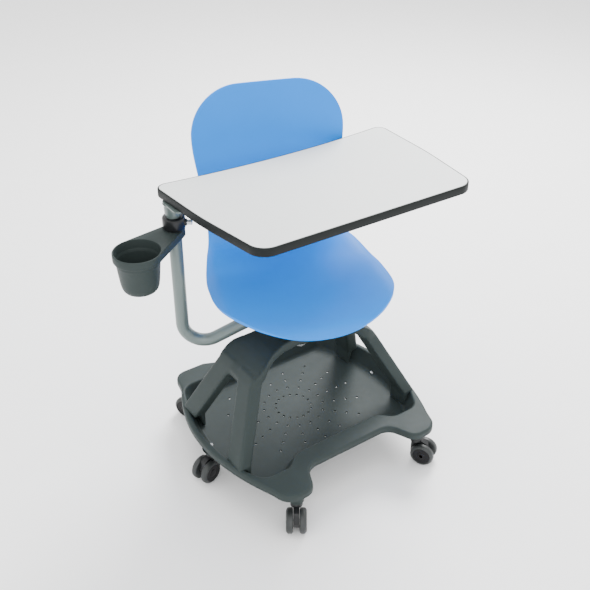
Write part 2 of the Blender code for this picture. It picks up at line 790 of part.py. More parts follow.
plate_holes = rods("plate_holes", [((x, y, pivot_plate_bottom - 0.01), (x, y, pivot_plate_top + 0.01))
                                   for x, y in desk_screw_places], screw_radius + gap, 10,
                   collection=cutters, parent=desk_turn)
board_holes = rods("board_holes", [((x, y, desk_bottom - 0.01),
                                    (x, y, pivot_plate_bottom - gap + desk_screw_length + gap))
                                   for x, y in desk_screw_places], screw_radius + gap, 10,
                   collection=cutters, parent=desk_turn)
cut(desk_pivot, plate_holes)
cut(desk_board, board_holes)
for number, (x, y) in enumerate(desk_screw_places, 1):
    screw(f"desk_screw_{number}", x, y, pivot_plate_bottom - gap, desk_screw_length, desk_turn)


# ---------------------------------------------------------------- cup holder
def circle_points(x, radius, start, end, steps):
    return [Vector((x + radius * math.cos(start + (end - start) * k / steps),
                    radius * math.sin(start + (end - start) * k / steps))) for k in range(steps + 1)]


tangent = math.acos((holder_ring_radius - cup_rim_radius) / cup_reach)
teardrop = circle_points(cup_reach, cup_rim_radius, -tangent, tangent, 18)
teardrop += circle_points(0, holder_ring_radius, tangent, 2 * math.pi - tangent, 12)
cup_bottom = cup_top - cup_height
cup_holder = loft("cup_holder", [
    (grown(teardrop, -0.0015), cup_top - holder_thickness), (teardrop, cup_top - holder_thickness + 0.0015),
    (teardrop, cup_top - 0.0015), (grown(teardrop, -0.0015), cup_top),
], grey_plastic, cup_turn)
at_cup = Matrix.Translation((cup_reach, 0, 0))
cup_body = turned("cup_body", [
    (0, cup_top - 0.002), (cup_rim_radius - 0.0004, cup_top - 0.002),
    (cup_rim_radius - 0.0004, cup_top - cup_band),
    (cup_rim_radius - 0.004, cup_top - cup_band - 0.0025), (cup_base_radius + 0.0015, cup_bottom + 0.012),
    (cup_base_radius - 0.0015, cup_bottom + 0.004), (cup_base_radius - 0.007, cup_bottom), (0, cup_bottom),
], 26, collection=cutters, parent=cup_turn, matrix=at_cup)
inner_base = cup_base_radius - cup_wall
cup_space = turned("cup_space", [
    (0, cup_top + 0.01), (cup_rim_radius - cup_wall - 0.001, cup_top + 0.01),
    (cup_rim_radius - cup_wall - 0.0035, cup_top - cup_band), (inner_base + 0.0015, cup_bottom + 0.012),
    (inner_base - 0.003, cup_bottom + cup_wall), (0, cup_bottom + cup_wall),
], 26, collection=cutters, parent=cup_turn, matrix=at_cup)
holder_bore = rods("holder_bore", [((0, 0, cup_top - 0.05), (0, 0, cup_top + 0.02))], tube_radius + gap, 20,
                   collection=cutters, parent=cup_turn)
join(cup_holder, cup_body)
cut(cup_holder, cup_space)
cut(cup_holder, holder_bore)

collar_bottom = cup_top + gap
collar_top = collar_bottom + collar_height
collar_middle = (collar_bottom + collar_top) / 2
lug_yaw = math.radians(-38) - cup_direction
lug = Vector((math.cos(lug_yaw), math.sin(lug_yaw), 0))
holder_collar = turned("holder_collar", [
    (0, collar_top), (collar_radius - 0.0015, collar_top), (collar_radius, collar_top - 0.0015),
    (collar_radius, collar_bottom), (0, collar_bottom),
], 24, black_plastic, cup_turn)
height = Vector((0, 0, collar_middle))
lug_ends = (lug * 0.019 + height, lug * (collar_radius + 0.004) + height)
collar_lug = rods("collar_lug", [lug_ends], 0.0075, 14,
                  collection=cutters, parent=cup_turn)
collar_bore = rods("collar_bore", [((0, 0, collar_bottom - 0.01), (0, 0, collar_top + 0.01))],
                   tube_radius + gap, 20, collection=cutters, parent=cup_turn)
screw_hole = rods("screw_hole", [(lug * 0.010 + height, lug * 0.050 + height)], screw_radius + gap, 10,
                  collection=cutters, parent=cup_turn)
join(holder_collar, collar_lug)
cut(holder_collar, collar_bore)
cut(holder_collar, screw_hole)
clamp_screw = turned("clamp_screw", [
    (0, lug_length - 0.001), (screw_head, lug_length - 0.001), (screw_head, 0), (screw_radius, 0),
    (screw_radius, -0.0110), (0, -0.0110),
], 12, steel, cup_turn)
clamp_screw.matrix_local = (Matrix.Translation(lug * (collar_radius + 0.004 + gap) + height)
                            @ lug.to_track_quat("Z", "Y").to_matrix().to_4x4())


# ---------------------------------------------------------------- casters
to_y = Matrix.Rotation(math.pi / 2, 4, "X")
web_half = wheel_gap / 2 - web_clearance
recess = wheel_width * 0.78
web_back = neck_radius - 0.003
web_foot = wheel_radius - 0.013
flange_top = hood_top + gap + stem_flange_height
stem_foot = wheel_radius + axle_radius
web_outline = rounded([
    (-web_back, stem_foot - 0.008, 0.004), (web_back, web_foot, 0.006),
    (caster_trail + 0.010, web_foot, 0.006), (caster_trail + 0.016, stem_foot, 0.008),
    (caster_trail + 0.008, wheel_radius * 2 - 0.002, 0.006),
    (web_back, hood_top - 0.003, 0), (-web_back, hood_top - 0.003, 0),
], 1)
for place_name, x, y, angle in caster_places:
    stem = turned(f"{place_name}_stem", [
        (0, stem_hole_top - gap), (stem_radius + 0.001, stem_hole_top - gap),
        (stem_radius + 0.001, flange_top), (stem_flange_radius, flange_top),
        (stem_flange_radius, hood_top + gap), (stem_radius, hood_top + gap),
        (stem_radius, stem_foot), (0, stem_foot),
    ], 10, steel, chair)
    stem.location = (x, y, 0)
    swivel = empty(f"{place_name}_swivel", chair, (x, y, 0), math.radians(angle))
    hood = loft(f"{place_name}_hood", [(web_outline, -web_half), (web_outline, web_half)], black_plastic,
                swivel, matrix=to_y)
    neck_ends = ((0, 0, wheel_radius * 2 + 0.0006), (0, 0, hood_top))
    neck = rods(f"{place_name}_neck", [neck_ends], neck_radius, 12, collection=cutters, parent=swivel)
    bore_ends = ((0, 0, stem_foot - 0.0015), (0, 0, hood_top + 0.01))
    bore = rods(f"{place_name}_bore", [bore_ends], stem_radius + running, 10,
                collection=cutters, parent=swivel)
    axle_bore = rods(f"{place_name}_axle_bore", [((caster_trail, -0.02, wheel_radius),
                                                 (caster_trail, 0.02, wheel_radius))],
                     axle_radius + running, 10, collection=cutters, parent=swivel)
    join(hood, neck)
    cut(hood, bore)
    cut(hood, axle_bore)
    spin = empty(f"{place_name}_spin", swivel, (caster_trail, 0, wheel_radius))
    axle_half = wheel_gap / 2 + recess - gap
    rods(f"{place_name}_axle", [((0, -axle_half, 0), (0, axle_half, 0))], axle_radius, 10, steel, spin)
    for hand, turn_over in (("a", 1), ("b", -1)):
        to_axle = Matrix.Rotation(-turn_over * math.pi / 2, 4, "X")
        wheel = turned(f"{place_name}_wheel_{hand}", [
            (0.010, recess), (0.012, wheel_width - 0.001), (wheel_radius - 0.004, wheel_width),
            (wheel_radius, wheel_width - 0.004), (wheel_radius, 0.002), (wheel_radius - 0.002, 0),
            (axle_radius + gap, 0), (axle_radius + gap, recess),
        ], 16, tread_plastic, spin,
            matrix=to_axle @ Matrix.Translation((0, 0, wheel_gap / 2)))


# ---------------------------------------------------------------- shading and origin
for made in parts.objects:
    if made.type == "MESH":
        smooth(made)

view = bpy.context.evaluated_depsgraph_get()
view.update()
everywhere = []
for made in parts.objects:
    if made.type == "MESH":
        solid = made.evaluated_get(view)
        everywhere += [solid.matrix_world @ v.co for v in solid.data.vertices]
lowest = [min(point[k] for point in everywhere) for k in range(3)]
highest = [max(point[k] for point in everywhere) for k in range(3)]
chair.location = (-(lowest[0] + highest[0]) / 2, -(lowest[1] + highest[1]) / 2, -lowest[2])
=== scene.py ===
import json
import math

import bmesh
import bpy
from mathutils import Matrix, Vector


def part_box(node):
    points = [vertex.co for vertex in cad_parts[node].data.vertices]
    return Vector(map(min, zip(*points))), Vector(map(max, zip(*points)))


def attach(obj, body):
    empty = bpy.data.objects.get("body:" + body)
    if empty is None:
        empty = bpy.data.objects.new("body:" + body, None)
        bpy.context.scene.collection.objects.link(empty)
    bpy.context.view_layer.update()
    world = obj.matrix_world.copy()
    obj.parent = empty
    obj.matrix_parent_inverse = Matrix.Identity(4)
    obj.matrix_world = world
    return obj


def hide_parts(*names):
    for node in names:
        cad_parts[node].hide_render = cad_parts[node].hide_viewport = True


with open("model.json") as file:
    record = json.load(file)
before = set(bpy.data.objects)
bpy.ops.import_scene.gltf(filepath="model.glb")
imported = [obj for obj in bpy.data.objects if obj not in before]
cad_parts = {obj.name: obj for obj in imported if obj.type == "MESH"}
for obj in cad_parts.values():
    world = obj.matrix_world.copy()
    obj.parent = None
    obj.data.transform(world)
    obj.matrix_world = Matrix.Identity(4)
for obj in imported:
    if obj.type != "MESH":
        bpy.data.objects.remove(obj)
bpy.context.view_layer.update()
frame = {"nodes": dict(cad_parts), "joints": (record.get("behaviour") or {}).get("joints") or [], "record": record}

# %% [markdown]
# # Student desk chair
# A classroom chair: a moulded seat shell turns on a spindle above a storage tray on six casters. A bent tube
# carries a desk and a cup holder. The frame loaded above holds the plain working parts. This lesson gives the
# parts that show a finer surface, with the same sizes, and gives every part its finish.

joints = {joint["name"]: joint for joint in frame["joints"]}
spindle = Vector(joints["seat_swivel"]["pos_m"])
spindle.z = 0
post = Vector(joints["desk_swivel"]["pos_m"])
post.z = 0
seat_yaw = math.radians(-19)
desk_yaw = math.radians(-1.5)

# %% [markdown]
# ## Finishes
# A moulded plastic is never one flat colour. It drifts a little over a hand's width, its gloss drifts too, and the
# mould leaves a fine grain that breaks up the highlights. So each finish here has three noises on Object
# coordinates: a broad one for colour, a middle one for roughness and a fine one for the bump. Values that are the
# same all over sit on the shader's own sockets.


# %% A maker of finishes
def finish(name, colour, roughness, grain=0.1, grain_size=0.0012, drift=0.05, metallic=0.0, coat=0.0,
           specular=0.5):
    """A procedural material: colour drift, roughness drift and a fine grain. Sizes are in metres."""
    made = bpy.data.materials.new(name)
    made.use_nodes = True
    nodes, links = made.node_tree.nodes, made.node_tree.links
    shader = nodes["Principled BSDF"]
    shader.inputs["Metallic"].default_value = metallic
    shader.inputs["Specular IOR Level"].default_value = specular
    shader.inputs["Coat Weight"].default_value = coat
    shader.inputs["Coat Roughness"].default_value = 0.25
    where = nodes.new("ShaderNodeTexCoord")

    broad = nodes.new("ShaderNodeTexNoise")
    broad.inputs["Scale"].default_value = 9.0
    broad.inputs["Detail"].default_value = 4.0
    links.new(where.outputs["Object"], broad.inputs["Vector"])
    ramp = nodes.new("ShaderNodeValToRGB")
    ramp.color_ramp.elements[0].position = 0.3
    ramp.color_ramp.elements[1].position = 0.7
    ramp.color_ramp.elements[0].color = (*[c * (1 - drift) for c in colour], 1)
    ramp.color_ramp.elements[1].color = (*[min(1.0, c * (1 + drift)) for c in colour], 1)
    links.new(broad.outputs["Fac"], ramp.inputs["Fac"])
    links.new(ramp.outputs["Color"], shader.inputs["Base Color"])

    middle = nodes.new("ShaderNodeTexNoise")
    middle.inputs["Scale"].default_value = 60.0
    middle.inputs["Detail"].default_value = 3.0
    links.new(where.outputs["Object"], middle.inputs["Vector"])
    gloss = nodes.new("ShaderNodeMapRange")
    gloss.inputs["To Min"].default_value = max(0.02, roughness - 0.05)
    gloss.inputs["To Max"].default_value = min(1.0, roughness + 0.05)
    links.new(middle.outputs["Fac"], gloss.inputs["Value"])
    links.new(gloss.outputs["Result"], shader.inputs["Roughness"])

    fine = nodes.new("ShaderNodeTexNoise")
    fine.inputs["Scale"].default_value = 1 / grain_size
    fine.inputs["Detail"].default_value = 2.0
    links.new(where.outputs["Object"], fine.inputs["Vector"])
    bump = nodes.new("ShaderNodeBump")
    bump.inputs["Strength"].default_value = grain
    bump.inputs["Distance"].default_value = 0.0003
    links.new(fine.outputs["Fac"], bump.inputs["Height"])
    links.new(bump.outputs["Normal"], shader.inputs["Normal"])
    return made


blue_shell = finish("blue_shell", (0.001, 0.205, 0.72), 0.44, grain=0.10, drift=0.03, specular=0.16)
grey_moulding = finish("grey_moulding", (0.024, 0.033, 0.032), 0.54, grain=0.18, drift=0.07, specular=0.16)
caster_black = finish("caster_black", (0.010, 0.011, 0.012), 0.32, grain=0.06, drift=0.10, specular=0.3)
tread_black = finish("tread_black", (0.018, 0.021, 0.021), 0.46, grain=0.20, drift=0.12, specular=0.45)
wheel_face_black = finish("wheel_face_black", (0.006, 0.006, 0.007), 0.42, grain=0.08, drift=0.10, specular=0.2)
tube_coat = finish("tube_coat", (0.115, 0.148, 0.142), 0.36, grain=0.10, grain_size=0.0006, metallic=0.3, coat=0.2)
bracket_coat = finish("bracket_coat", (0.012, 0.013, 0.014), 0.42, grain=0.15, grain_size=0.0007, specular=0.25)
zinc = finish("zinc", (0.58, 0.60, 0.62), 0.30, grain=0.08, grain_size=0.0005, drift=0.10, metallic=1.0)
acetal = finish("acetal", (0.55, 0.55, 0.51), 0.45, grain=0.05)
desk_white = finish("desk_white", (0.60, 0.62, 0.615), 0.45, grain=0.10, grain_size=0.0009, drift=0.012, specular=0.3)
edge_charcoal = finish("edge_charcoal", (0.006, 0.008, 0.008), 0.50, grain=0.16, grain_size=0.0008, specular=0.15)
print(len(bpy.data.materials), "materials in the file")

# %% [markdown]
# ## Outlines
# Most of these mouldings start as a flat outline: straight or bowed sides with a round corner between them. One
# function turns corners with a radius into a smooth outline, and another moves an outline in or out by a distance,
# which is what a wall, a draft angle or a rounded edge needs.


# %% Outline helpers
def rounded(corners, steps=10):
    """A closed outline from (x, y, radius) corners, each turned into an arc."""
    outline = []
    for i, (x, y, radius) in enumerate(corners):
        here = Vector((x, y))
        before = (Vector(corners[i - 1][:2]) - here).normalized()
        after = (Vector(corners[(i + 1) % len(corners)][:2]) - here).normalized()
        if radius == 0:
            outline.append(here)
            continue
        half = before.angle(after) / 2
        centre = here + (before + after).normalized() * radius / math.sin(half)
        start = here + before * radius / math.tan(half) - centre
        end = here + after * radius / math.tan(half) - centre
        turn = math.atan2(start.cross(end), start.dot(end))
        for k in range(steps + 1):
            outline.append(centre + Matrix.Rotation(turn * k / steps, 2) @ start)
    return outline


def both_sides(half):
    """Corners of a closed outline from its half at x > 0, in order from front to rear."""
    return list(half) + [(-x, y, radius) for x, y, radius in reversed(half)]


def grown(outline, distance):
    """The outline moved outwards by a distance, or inwards if it is negative. It runs anticlockwise."""
    moved = []
    for i, here in enumerate(outline):
        before = (here - outline[i - 1]).normalized()
        after = (outline[(i + 1) % len(outline)] - here).normalized()
        out_before = Vector((before.y, -before.x))
        out_after = Vector((after.y, -after.x))
        share = out_before + out_after
        moved.append(here + share * distance / (1 + out_before.dot(out_after)))
    return moved


def circle(radius, centre=(0, 0), steps=64):
    turns = [2 * math.pi * k / steps for k in range(steps)]
    return [Vector((centre[0] + radius * math.cos(a), centre[1] + radius * math.sin(a))) for a in turns]


def at_height(outline, z):
    return [Vector((p.x, p.y, z)) for p in outline]


print("a unit circle has", len(circle(1)), "points")

# %% [markdown]
# ## From outlines to skins
# `skin` bridges one ring of points to the next, so a list of rings becomes a smooth wall. `fill` closes the flat
# area between loops: give it an outer loop and some inner ones, and the inner ones stay open, which is how the tray
# gets its drain holes. `turned` spins a profile, as a lathe does. `piece` then puts the mesh in the scene at the
# origin, gives it a finish and lets it ride on its body of the frame.


# %% Mesh helpers
def ring_edges(bm, points):
    verts = [bm.verts.new(p) for p in points]
    return [bm.edges.new(pair) for pair in zip(verts, verts[1:] + verts[:1])]


def skin(bm, rings):
    """Bridge rings of points one after another. Gives back the first and the last loop of edges."""
    loops = [ring_edges(bm, ring) for ring in rings]
    for low, high in zip(loops, loops[1:]):
        bmesh.ops.bridge_loops(bm, edges=low + high)
    return loops[0], loops[-1]


def fill(bm, *loops):
    """Close the flat area inside the first loop and outside the others."""
    bmesh.ops.triangle_fill(bm, use_beauty=True, edges=[edge for loop in loops for edge in loop])


def turned(profile, steps=64, matrix=None, bm=None):
    """A solid of revolution about Z from (radius, height) points."""
    made = bmesh.new()
    verts = [made.verts.new((r, 0, z)) for r, z in profile]
    edges = [made.edges.new(pair) for pair in zip(verts, verts[1:])]
    if profile[0][0] > 0:
        edges.append(made.edges.new((verts[-1], verts[0])))
    bmesh.ops.spin(made, geom=verts + edges, cent=(0, 0, 0), axis=(0, 0, 1), angle=2 * math.pi, steps=steps,
                   use_merge=True)
    bmesh.ops.remove_doubles(made, verts=made.verts, dist=1e-6)
    bmesh.ops.recalc_face_normals(made, faces=made.faces)
    if matrix:
        bmesh.ops.transform(made, matrix=matrix, verts=made.verts)
    if bm is None:
        return made
    poured = bpy.data.meshes.new("poured")
    made.to_mesh(poured)
    made.free()
    bm.from_mesh(poured)
    bpy.data.meshes.remove(poured)
    return bm


def extruded(bm, outline, low, high, matrix=None):
    """A straight prism on an outline, from one height to another."""
    bottom, top = skin(bm, [at_height(outline, low), at_height(outline, high)])
    fill(bm, bottom)
    fill(bm, top)
    made = {vert for edge in bottom + top for vert in edge.verts}
    if matrix:
        bmesh.ops.transform(bm, matrix=matrix, verts=list(made))
    return made


def piece(name, bm, material, body, stands_for=(), bevel=0.0, smooth=40, segments=3, shift=None):
    """Put a mesh in the scene as a piece that rides on a body of the frame."""
    if shift:
        bmesh.ops.translate(bm, vec=shift, verts=bm.verts)
    bmesh.ops.remove_doubles(bm, verts=bm.verts, dist=1e-6)
    bmesh.ops.recalc_face_normals(bm, faces=bm.faces)
    mesh = bpy.data.meshes.new(name)
    bm.to_mesh(mesh)
    bm.free()
    mesh.shade_smooth()
    mesh.set_sharp_from_angle(angle=math.radians(smooth))
    mesh.materials.append(material)
    made = bpy.data.objects.new(name, mesh)
    bpy.context.scene.collection.objects.link(made)
    if bevel:
        edge = made.modifiers.new("soft_edges", "BEVEL")
        edge.width = bevel
        edge.segments = segments
        edge.limit_method = "ANGLE"
        edge.angle_limit = math.radians(smooth)
        edge.harden_normals = False
    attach(made, body)
    if stands_for:
        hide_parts(*stands_for)
    print(name, len(mesh.polygons), "faces")
    return made


def settle(made):
    """Apply a piece's modifiers to its mesh."""
    seen = made.evaluated_get(bpy.context.evaluated_depsgraph_get())
    mesh = bpy.data.meshes.new_from_object(seen)
    made.modifiers.clear()
    made.data = mesh
    return made


# %% [markdown]
# ## Base tray
# The tray is one injection moulding: a narrow rim with a rounded edge, a flat flange, and a dish with drafted walls
# and a level floor. It could be a solid with the dish cut out, but then its rounded edges would be hard to reach.
# Here it is a sheet instead, drawn ring by ring from the foot of the skirt over the rim and down to the floor, and
# a Solidify modifier gives it its wall. The floor has sixteen rays of small drain holes.

# %% Tray outlines
tray_half_width = 0.266
tray_bow_front = 1.05
tray_bow_rear = 1.45
tray_front = 0.196
tray_rear = 0.236
front_lobe_reach = 0.064
rear_lobe_reach = 0.014
lobe_flange = 0.082
rim_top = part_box("base_tray")[1].z
rim_height = 0.016
rim_edge = 0.006
tray_wall = 0.0035
dish_depth = 0.040
dish_floor = rim_top - dish_depth
dish_draft = 0.018
front_flange = 0.047
rear_flange = 0.044
side_flange = 0.015


def side_x(y):
    """Half-width of the tray at a distance behind the spindle."""
    return tray_half_width - (tray_bow_front if y < 0 else tray_bow_rear) * y * y


def bowed(start, end, count, inset=0.0):
    steps = [start + (end - start) * k / count for k in range(count + 1)]
    return [(side_x(y) - inset, y, 0) for y in steps]


tip = -tray_front - front_lobe_reach
back = tray_rear + rear_lobe_reach
rim_half = [(0.112, -tray_front, 0.035), (0.140, tip, 0.030), (0.204, tip, 0.040)]
rim_half += bowed(-0.212, 0.195, 26)
rim_half += [(0.200, back, 0.032), (0.120, back, 0.030), (0.088, tray_rear, 0.030)]
rim_outline = rounded(both_sides(rim_half))
dish_half = [(0.116, -tray_front + front_flange, 0.050), (0.146, tip + lobe_flange, 0.028),
             (0.210, tip + lobe_flange, 0.032)]
dish_half += bowed(-0.135, 0.140, 18, side_flange)
dish_half += [(0.204, tray_rear - rear_flange, 0.034)]
dish_outline = rounded(both_sides(dish_half))
print("rim", len(rim_outline), "points, dish", len(dish_outline))

# %% Tray sheet
bm = bmesh.new()
round_steps = 5
arc = [math.pi / 2 * k / round_steps for k in range(round_steps + 1)]
rim_rings = [at_height(rim_outline, rim_top - rim_height)]
rim_rings += [at_height(grown(rim_outline, -rim_edge * (1 - math.cos(a))), rim_top - rim_edge * (1 - math.sin(a)))
              for a in arc]
skirt_foot, flange_outer = skin(bm, rim_rings)

dish_edge = 0.0055
floor_round = 0.013
dish_rings = [at_height(grown(dish_outline, dish_edge * (1 - math.sin(a))), rim_top - dish_edge * (1 - math.cos(a)))
              for a in arc]
foot_reach = dish_draft - floor_round * 0.45
dish_rings += [at_height(grown(dish_outline, -foot_reach - floor_round * (1 - math.cos(a)) * 0.8),
                         dish_floor + floor_round * (1 - math.sin(a))) for a in arc]
flange_inner, floor_edge = skin(bm, dish_rings)
fill(bm, flange_outer, flange_inner)

hole_radius = 0.0030
hole_loops = []
floor_outline = grown(dish_outline, -foot_reach - floor_round * 0.8)
reach_x = max(p.x for p in floor_outline) - 0.006
low_y = front_flange - tray_front + foot_reach + floor_round * 0.8 + 0.006
high_y = max(p.y for p in floor_outline) - 0.006
for ray in range(16):
    for ring in range(5):
        reach = 0.043 + 0.029 * ring
        x = reach * math.cos(2 * math.pi * ray / 16)
        y = reach * math.sin(2 * math.pi * ray / 16) + 0.022
        if abs(x) < reach_x and low_y < y < high_y:
            hole = circle(hole_radius, (x, y), 14)
            hole_loops.append(ring_edges(bm, at_height(hole, dish_floor)))
fill(bm, floor_edge, *hole_loops)
print(len(hole_loops), "drain holes")

# %% Tray piece
bmesh.ops.remove_doubles(bm, verts=bm.verts, dist=1e-6)
bmesh.ops.recalc_face_normals(bm, faces=bm.faces)
bm.faces.ensure_lookup_table()
level = [face for face in bm.faces if abs(face.normal.z) > 0.99]
if sum(face.normal.z * face.calc_area() for face in level) < 0:
    bmesh.ops.reverse_faces(bm, faces=bm.faces)
bmesh.ops.translate(bm, vec=spindle, verts=bm.verts)
tray_mesh = bpy.data.meshes.new("tray_moulding")
bm.to_mesh(tray_mesh)
bm.free()
tray_mesh.materials.append(grey_moulding)
tray = bpy.data.objects.new("tray_moulding", tray_mesh)
bpy.context.scene.collection.objects.link(tray)
wall = tray.modifiers.new("wall", "SOLIDIFY")
wall.thickness = tray_wall
wall.offset = -1
settle(tray)
tray.data.shade_smooth()
tray.data.set_sharp_from_angle(angle=math.radians(35))
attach(tray, "base")
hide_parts("base_tray")
print("tray_moulding", len(tray.data.polygons), "faces")

# %% [markdown]
# Each caster's stem sits in a round socket under the rim. A socket is a short turned post with a small flare
# where it meets the moulding.

# %% Caster sockets
casters = ("front_right", "front_left", "middle_right", "middle_left", "rear_right", "rear_left")
socket_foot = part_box("base_tray")[0].z
socket_radius = 0.0165
socket_top = dish_floor - tray_wall - 0.0005
bm = bmesh.new()
for caster in casters:
    stem = Vector(joints[caster + "_swivel"]["pos_m"])
    inside_dish = caster.startswith("middle")
    top = socket_top if inside_dish else rim_top - tray_wall
    turned([(0, top), (socket_radius + 0.004, top), (socket_radius, top - 0.006),
            (socket_radius, socket_foot + 0.0015), (socket_radius - 0.0015, socket_foot),
            (0.0062, socket_foot), (0, socket_foot + 0.0002)], 40,
           Matrix.Translation((stem.x, stem.y, 0)), bm)
piece("caster_sockets", bm, grey_moulding, "base", smooth=30)

# %% [markdown]
# ## Struts and housing
# Under the seat an arched beam splits into two struts on each side, and all of it flows together like one moulding.
# Blending such shapes by hand takes many cuts. So each limb is a simple swept box, and a voxel Remesh fuses them
# into one skin. A Smooth modifier then melts the seams into fillets.


# %% A swept box
def swept(bm, sections):
    """A solid through sections, each a list of four corner points."""
    first, last = skin(bm, sections)
    fill(bm, first)
    fill(bm, last)


def level_section(x, y, z, half_x, half_y):
    return [Vector((x + i * half_x, y + j * half_y, z)) for i, j in ((-1, -1), (1, -1), (1, 1), (-1, 1))]


strut_depth = 0.055
strut_thickness = 0.031
strut_foot_y = 0.106
strut_top_y = 0.042
strut_top_x = 0.158
strut_top_z = 0.276
beam_sections = (            # distance from the spindle, bottom, top, half depth
    (0.000, 0.312, 0.336, 0.040),
    (0.040, 0.312, 0.336, 0.041),
    (0.070, 0.310, 0.334, 0.043),
    (0.100, 0.304, 0.327, 0.050),
    (0.120, 0.293, 0.3195, 0.059),
    (0.134, 0.281, 0.3125, 0.067),
    (0.150, 0.270, 0.302, 0.0705),
    (0.164, 0.262, 0.290, 0.070),
    (0.1745, 0.256, 0.274, 0.067),
)
print(len(beam_sections), "sections along the arched beam")

# %% Struts and housing piece
bm = bmesh.new()
for side in (-1, 1):
    swept(bm, [[Vector((side * x, -deep, low)), Vector((side * x, deep, low)), Vector((side * x, deep, high)),
                Vector((side * x, -deep, high))] for x, low, high, deep in beam_sections])
    for end in (-1, 1):
        foot_y = end * strut_foot_y
        foot_x = side * (side_x(end * (strut_foot_y + strut_depth / 2)) - strut_thickness / 2)
        top_x = side * strut_top_x
        top_y = end * strut_top_y
        rise = strut_top_z - rim_top
        above = 0.018 / rise
        inner = foot_x - side * strut_thickness / 2
        swept(bm, [
            level_section(inner + side * 0.003, foot_y, dish_floor + 0.0005, 0.003, strut_depth / 2),
            level_section(inner + side * 0.008, foot_y, rim_top + 0.004, 0.008, strut_depth / 2),
        ])
        swept(bm, [
            level_section(foot_x, foot_y, rim_top - 0.0025, strut_thickness / 2, strut_depth / 2),
            level_section(top_x, top_y, strut_top_z, strut_thickness / 2, strut_depth / 2),
            level_section(top_x + (top_x - foot_x) * above, top_y + (top_y - foot_y) * above,
                          strut_top_z + 0.018, strut_thickness / 2 - 0.002, strut_depth / 2 - 0.004),
        ])
extruded(bm, circle(0.030), 0.298, 0.341)
legs = piece("struts_and_housing", bm, grey_moulding, "base", shift=spindle, smooth=180,
             stands_for=("swivel_housing", "front_left_strut", "front_right_strut", "rear_left_strut",
                         "rear_right_strut"))
fuse = legs.modifiers.new("fuse", "REMESH")
fuse.mode = "VOXEL"
fuse.voxel_size = 0.0026
fuse.use_smooth_shade = True
melt = legs.modifiers.new("melt", "SMOOTH")
melt.factor = 0.5
melt.iterations = 14
settle(legs)
legs.data.materials.clear()
legs.data.materials.append(grey_moulding)
legs.data.shade_smooth()
print("fused into", len(legs.data.polygons), "faces")

# %% [markdown]
# ## Seat shell
# The shell is one sheet of plastic, bent like a ribbon: a lip that turns down in front, a dished pan, a tight bend
# and a back that leans and wraps a little. Its ends are round. A grid operator gives the sheet, and one formula
# puts each of its vertices on the ribbon. Solidify gives the wall, and Bevel rounds the rim.

# %% The ribbon
seat_half_width = 0.198
waist_half_width = 0.157
back_half_width = 0.176
shell_thickness = 0.006
pan_front_y = -0.212
pan_front_z = 0.4435
lip_length = 0.042
lip_angle = math.radians(48)
pan_length = 0.331
waist_begins = 0.55
pan_heading = math.radians(-3)
bend_radius = 0.082
back_heading = math.radians(84)
back_top = 0.807
front_round = 0.192
back_round = 0.112
pan_dish = 0.016
wing_rise = 0.030
back_wrap = 0.012
edge_roll = 0.012


def smoothstep(low, high, value):
    share = min(1.0, max(0.0, (value - low) / (high - low)))
    return share * share * (3 - 2 * share)


def arc_step(y, z, heading, length, turn):
    """The end of an arc of a given length that starts at a heading and turns, all in the YZ plane."""
    if abs(turn) < 1e-6:
        return y + length * math.cos(heading), z + length * math.sin(heading)
    radius = length / turn
    return (y + radius * (math.sin(heading + turn) - math.sin(heading)),
            z - radius * (math.cos(heading + turn) - math.cos(heading)))


bend_turn = back_heading - pan_heading
runs = [(lip_length, -lip_angle), (pan_length, 0.0), (bend_radius * bend_turn, bend_turn)]
starts = [(pan_front_y, pan_front_z, pan_heading + lip_angle)]
for length, turn in runs:
    y, z, heading = starts[-1]
    starts.append((*arc_step(y, z, heading, length, turn), heading + turn))
back_length = (back_top - starts[-1][1]) / math.sin(back_heading)
runs.append((back_length, 0.0))
shell_length = sum(length for length, turn in runs)
bend_start = lip_length + pan_length
back_start = bend_start + runs[2][0]


def shell_profile(s):
    """Place and heading of the sheet's middle line at a distance from the front lip."""
    for (length, turn), (y, z, heading) in zip(runs, starts):
        if s <= length or length == back_length:
            part = turn * s / length
            return (*arc_step(y, z, heading, s, part), heading + part)
        s -= length


def shell_half_width(s):
    waist = smoothstep(lip_length + waist_begins * pan_length, back_start - 0.02, s)
    top = smoothstep(back_start, shell_length - back_round, s)
    width = seat_half_width + (waist_half_width - seat_half_width) * waist
    return width + (back_half_width - waist_half_width) * top


def shell_point(s, across):
    """A point of the shell's upper face. across runs from -1 to 1 over its width."""
    y, z, heading = shell_profile(s)
    pan = smoothstep(0.0, lip_length * 2, s) * (1 - smoothstep(bend_start - 0.10, bend_start, s))
    leaning = smoothstep(bend_start, back_start + 0.06, s)
    wing = 1 - leaning - (1 - smoothstep(bend_start - 0.10, bend_start, s))
    lift = (pan_dish * pan + wing_rise * max(0.0, wing) + back_wrap * leaning) * across * across
    lift -= edge_roll * abs(across) ** 12 * (1 - leaning)
    return Vector((shell_half_width(s) * across, y - lift * math.sin(heading), z + lift * math.cos(heading)))


def end_round(across, half_width, radius):
    """How far a round end falls back at a place across the width."""
    past = max(0.0, abs(across) * half_width - (half_width - radius))
    return radius - math.sqrt(max(0.0, radius * radius - past * past))


print("ribbon length", round(shell_length, 3))

